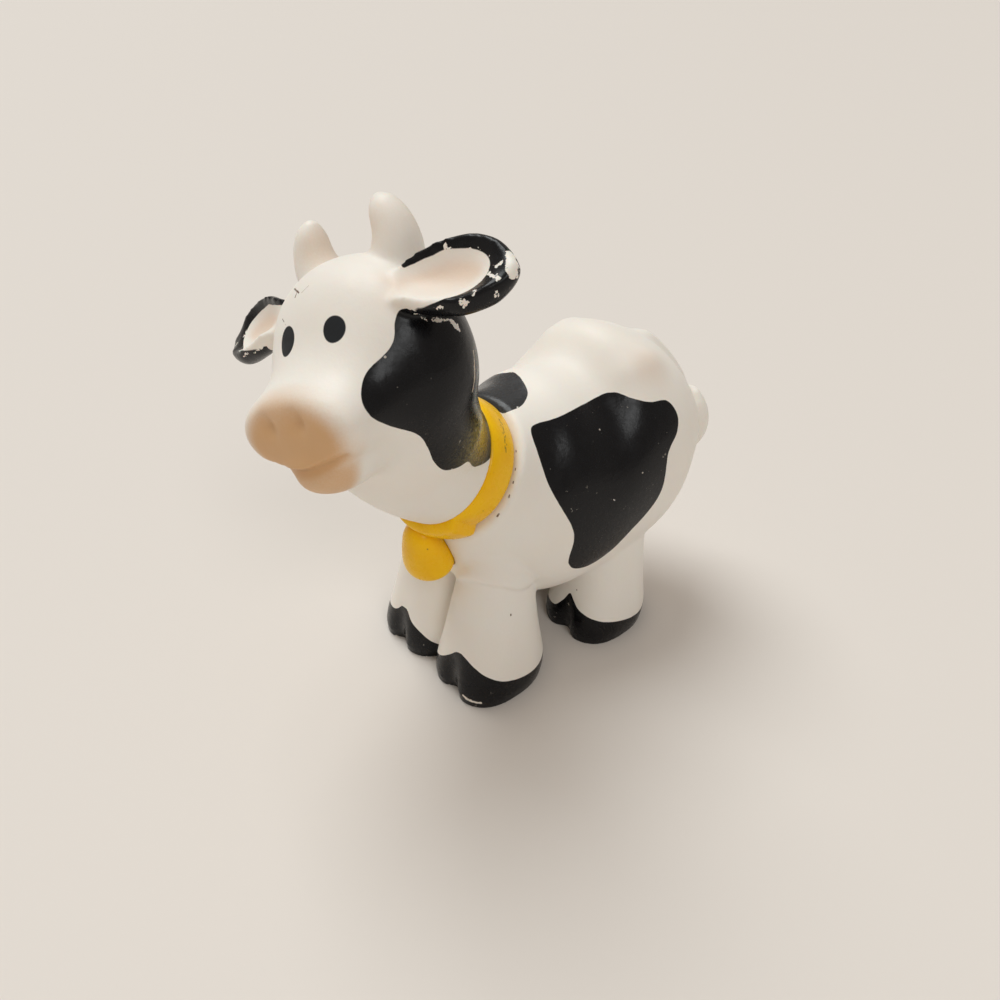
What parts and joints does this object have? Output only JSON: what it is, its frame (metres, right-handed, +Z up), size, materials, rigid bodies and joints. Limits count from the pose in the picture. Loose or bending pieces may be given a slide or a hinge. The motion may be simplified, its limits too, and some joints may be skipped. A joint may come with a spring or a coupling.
{
  "type": "toy farm cow figure",
  "caption": "Moulded toy farm cow, standing, head cocked to one side, with a yellow collar and bell.",
  "frame": {"origin": "centre of the toy's bounding box in plan, on the floor under the hooves", "axes": "-Y the way the body faces, +X its left side, +Z up from the floor"},
  "size_m": [0.0354, 0.066, 0.0631],
  "materials": {
    "white_vinyl": "satin",
    "collar_yellow": "gloss"
  },
  "bodies": {
    "root": {"body_shell": "white_vinyl", "head_shell": "white_vinyl", "collar": "collar_yellow", "bell": "collar_yellow"}
  },
  "joints": []
}
